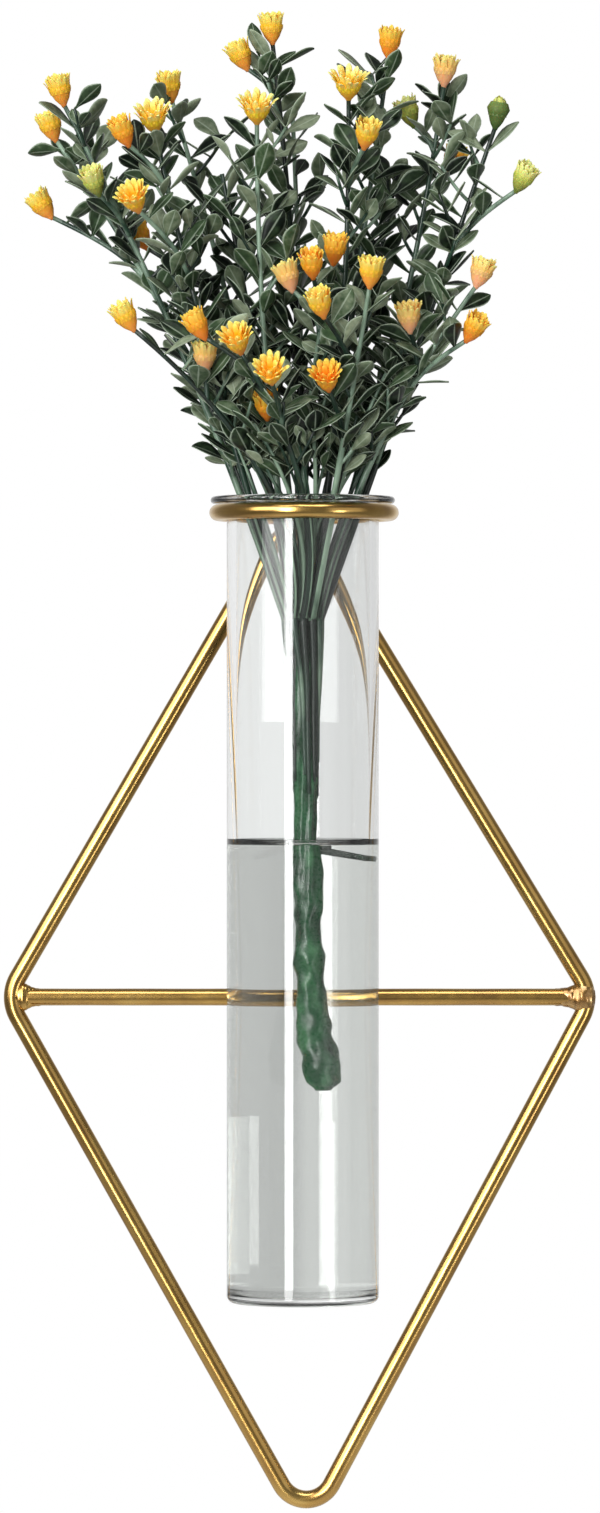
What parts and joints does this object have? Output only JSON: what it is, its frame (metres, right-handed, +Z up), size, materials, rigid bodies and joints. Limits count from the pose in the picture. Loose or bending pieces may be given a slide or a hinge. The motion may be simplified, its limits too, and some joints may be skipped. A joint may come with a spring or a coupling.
{
  "type": "wall mounted glass flower tube",
  "caption": "Rhombus of gold wire with a cross bar and a ring that holds a lipped glass tube of water with a bunch of artificial yellow flowers; hangs on a wall hook.",
  "frame": {"origin": "inside of the top corner's bend, in the wall plane behind it, where a nail or hook carries the frame", "axes": "+Z up the wall, +X to the right as seen from the front, +Y into the wall; the front faces -Y"},
  "size_m": [0.1182, 0.0574, 0.2977],
  "materials": {
    "gold_wire": "polished gold plating on steel wire",
    "braze": "plated braze bead",
    "clear_glass": "clear drawn glass with a flared lip",
    "water": "still clear water",
    "trunk_plastic": "moulded dark green plastic",
    "leaf_plastic": "moulded grey-green plastic",
    "flower_plastic": "moulded yellow to orange plastic"
  },
  "bodies": {
    "frame": {"diamond_wire": "gold_wire", "cross_bar": "gold_wire", "tube_ring": "gold_wire", "left_weld": "braze", "right_weld": "braze", "ring_weld": "braze"},
    "tube": {"glass_tube": "clear_glass", "water": "water"},
    "bunch": {"trunk": "trunk_plastic", "sprig_01": "leaf_plastic", "sprig_02": "leaf_plastic", "sprig_03": "leaf_plastic", "sprig_04": "leaf_plastic", "sprig_05": "leaf_plastic", "sprig_06": "leaf_plastic", "sprig_07": "leaf_plastic", "sprig_08": "leaf_plastic", "sprig_09": "leaf_plastic", "sprig_10": "leaf_plastic", "sprig_11": "leaf_plastic", "sprig_12": "leaf_plastic", "sprig_13": "leaf_plastic", "sprig_14": "leaf_plastic", "sprig_15": "leaf_plastic", "sprig_16": "leaf_plastic", "sprig_17": "leaf_plastic", "sprig_18": "leaf_plastic", "flowers_01": "flower_plastic", "flowers_02": "flower_plastic", "flowers_05": "flower_plastic", "flowers_06": "flower_plastic", "flowers_07": "flower_plastic", "flowers_08": "flower_plastic", "flowers_09": "flower_plastic", "flowers_10": "flower_plastic", "flowers_11": "flower_plastic", "flowers_12": "flower_plastic", "flowers_13": "flower_plastic", "flowers_14": "flower_plastic", "flowers_16": "flower_plastic", "flowers_17": "flower_plastic", "flowers_18": "flower_plastic"}
  },
  "joints": [
    {"name": "tube_lift", "type": "slide", "parent": "frame", "child": "tube", "axis": [0, 0, 1], "range_m": [0, 0.17]},
    {"name": "bunch_lift", "type": "slide", "parent": "tube", "child": "bunch", "axis": [0, 0, 1], "range_m": [0, 0.125]}
  ]
}
